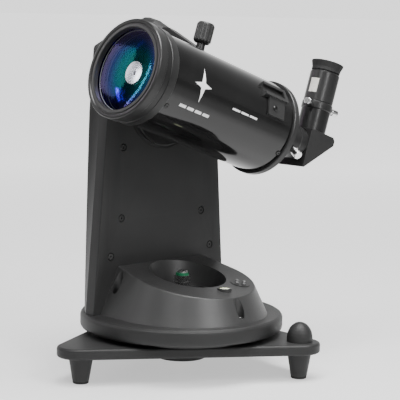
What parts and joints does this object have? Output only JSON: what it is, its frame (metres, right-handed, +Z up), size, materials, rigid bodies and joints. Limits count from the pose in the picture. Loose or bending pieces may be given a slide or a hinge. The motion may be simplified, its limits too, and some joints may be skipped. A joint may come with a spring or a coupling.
{
  "type": "catadioptric telescope",
  "caption": "Compact closed-tube mirror-lens telescope with a star diagonal, carried by a motorised single-arm altitude-azimuth tabletop mount on a three-footed base.",
  "frame": {"origin": "centre of the bounding box in plan, on the table plane the feet stand on", "axes": "+Z up; the altitude axis runs along Y; the tube is on the -Y side of the arm and looks towards -X and up"},
  "size_m": [0.3811, 0.2932, 0.3961],
  "materials": {
    "charcoal_plastic": "fine textured satin",
    "gloss_black": "high gloss black",
    "satin_black": "satin black anodised",
    "black_plastic": "smooth black moulding",
    "soft_rubber": "matt rubber",
    "coated_glass": "coated",
    "clear_glass": "polished",
    "mirror_coat": "polished",
    "zinc_steel": "plated",
    "black_steel": "black oxide",
    "bright_chrome": "polished",
    "brass": "turned",
    "green_nylon": "nylon",
    "vial_fluid": "tinted fluid under clear plastic",
    "board_green": "lacquered",
    "grey_buttons": "light grey legend buttons"
  },
  "bodies": {
    "base": {"base_board": "charcoal_plastic", "tripod_insert": "brass", "foot_left": "charcoal_plastic", "foot_front": "charcoal_plastic", "foot_rear": "charcoal_plastic", "foot_pads": "soft_rubber", "corner_cap": "charcoal_plastic", "azimuth_bearing": "black_plastic", "azimuth_bolt": "zinc_steel", "pivot_washers": "zinc_steel", "pivot_nut": "zinc_steel", "lock_nut": "zinc_steel", "lock_nut_insert": "green_nylon"},
    "turntable": {"turntable_disc": "charcoal_plastic", "drive_housing": "charcoal_plastic", "level_cup": "black_plastic", "level_vial": "vial_fluid", "keypad_plate": "black_plastic", "arm_front_shell": "charcoal_plastic", "arm_rear_cover": "charcoal_plastic", "panel_screws": "black_steel", "housing_screws": "black_steel", "azimuth_motor": "black_plastic", "altitude_motor": "black_plastic", "circuit_board": "board_green", "altitude_bearing": "zinc_steel"},
    "altitude_unit": {"altitude_hub": "satin_black", "altitude_wheel": "black_plastic", "saddle": "satin_black", "clamp_jaw": "satin_black", "dovetail_bar": "satin_black", "optical_tube": "gloss_black", "front_cell": "satin_black", "retaining_ring": "satin_black", "corrector_lens": "coated_glass", "secondary_mirror": "mirror_coat", "secondary_baffle": "satin_black", "baffle_tube": "satin_black", "rear_cell": "satin_black", "visual_back": "satin_black", "cell_screws": "black_steel", "finder_shoe": "satin_black", "shoe_screw": "black_steel"},
    "key_up": {"button_up": "grey_buttons"},
    "key_down": {"button_down": "grey_buttons"},
    "key_left": {"button_left": "grey_buttons"},
    "key_right": {"button_right": "grey_buttons"},
    "clamp": {"clamp_knob": "black_plastic"},
    "focuser": {"focus_knob": "black_plastic"},
    "mirror_cell": {"primary_mirror": "mirror_coat", "mirror_carrier": "satin_black"},
    "diagonal": {"diagonal_body": "satin_black", "diagonal_prism": "clear_glass"},
    "back_clamp_screw": {"visual_back_screw": "bright_chrome"},
    "eyepiece_screw_left": {"holder_screw_left": "bright_chrome"},
    "eyepiece_screw_right": {"holder_screw_right": "bright_chrome"},
    "eyepiece": {"eyepiece_barrel": "bright_chrome", "eyepiece_body": "satin_black", "eye_lens": "clear_glass", "eyecup": "soft_rubber"}
  },
  "joints": [
    {"name": "azimuth_turn", "type": "hinge", "parent": "base", "child": "turntable", "pos_m": [-0.02392, 0.00245, 0.06], "axis": [0, 0, 1], "continuous": true},
    {"name": "altitude_tilt", "type": "hinge", "parent": "turntable", "child": "altitude_unit", "pos_m": [-0.02392, 0.03645, 0.3015], "axis": [0, 1, 0], "range_deg": [-28, 58]},
    {"name": "key_up_press", "type": "slide", "parent": "turntable", "child": "key_up", "axis": [0, 0.2028, -0.9792], "range_m": [0, 0.0008], "stiffness_N_per_m": 500},
    {"name": "key_down_press", "type": "slide", "parent": "turntable", "child": "key_down", "axis": [0, 0.2028, -0.9792], "range_m": [0, 0.0008], "stiffness_N_per_m": 500},
    {"name": "key_left_press", "type": "slide", "parent": "turntable", "child": "key_left", "axis": [0, 0.2028, -0.9792], "range_m": [0, 0.0008], "stiffness_N_per_m": 500},
    {"name": "key_right_press", "type": "slide", "parent": "turntable", "child": "key_right", "axis": [0, 0.2028, -0.9792], "range_m": [0, 0.0008], "stiffness_N_per_m": 500},
    {"name": "clamp_turn", "type": "hinge", "parent": "altitude_unit", "child": "clamp", "pos_m": [0.00754, 0.01635, 0.3542], "axis": [0.3206, 0, 0.9472], "continuous": true},
    {"name": "focus_turn", "type": "hinge", "parent": "altitude_unit", "child": "focuser", "pos_m": [0.07098, 0.00225, 0.26093], "axis": [0.9472, 0, -0.3206], "range_deg": [-360, 360]},
    {"name": "mirror_travel", "type": "slide", "parent": "altitude_unit", "child": "mirror_cell", "axis": [0.9472, 0, -0.3206], "range_m": [-0.003, 0.003]},
    {"name": "diagonal_turn", "type": "hinge", "parent": "altitude_unit", "child": "diagonal", "pos_m": [0.09723, -0.03475, 0.26049], "axis": [0.9472, 0, -0.3206], "range_deg": [-60, 90]},
    {"name": "back_screw_turn", "type": "hinge", "parent": "altitude_unit", "child": "back_clamp_screw", "pos_m": [0.09653, -0.05547, 0.24597], "axis": [-0.1793, -0.829, -0.5297], "continuous": true},
    {"name": "eyepiece_screw_left_turn", "type": "hinge", "parent": "diagonal", "child": "eyepiece_screw_left", "pos_m": [0.13525, -0.04157, 0.30083], "axis": [-0.9005, -0.3102, 0.3048], "continuous": true},
    {"name": "eyepiece_screw_right_turn", "type": "hinge", "parent": "diagonal", "child": "eyepiece_screw_right", "pos_m": [0.17548, -0.03915, 0.28721], "axis": [0.9281, -0.2, -0.3141], "continuous": true},
    {"name": "eyepiece_slide", "type": "slide", "parent": "diagonal", "child": "eyepiece", "axis": [0.3206, 0, 0.9472], "range_m": [0, 0.026]}
  ],
  "couplings": [
    {"joint": "focus_turn", "follows": "mirror_travel", "rad_per_m": 2094}
  ]
}
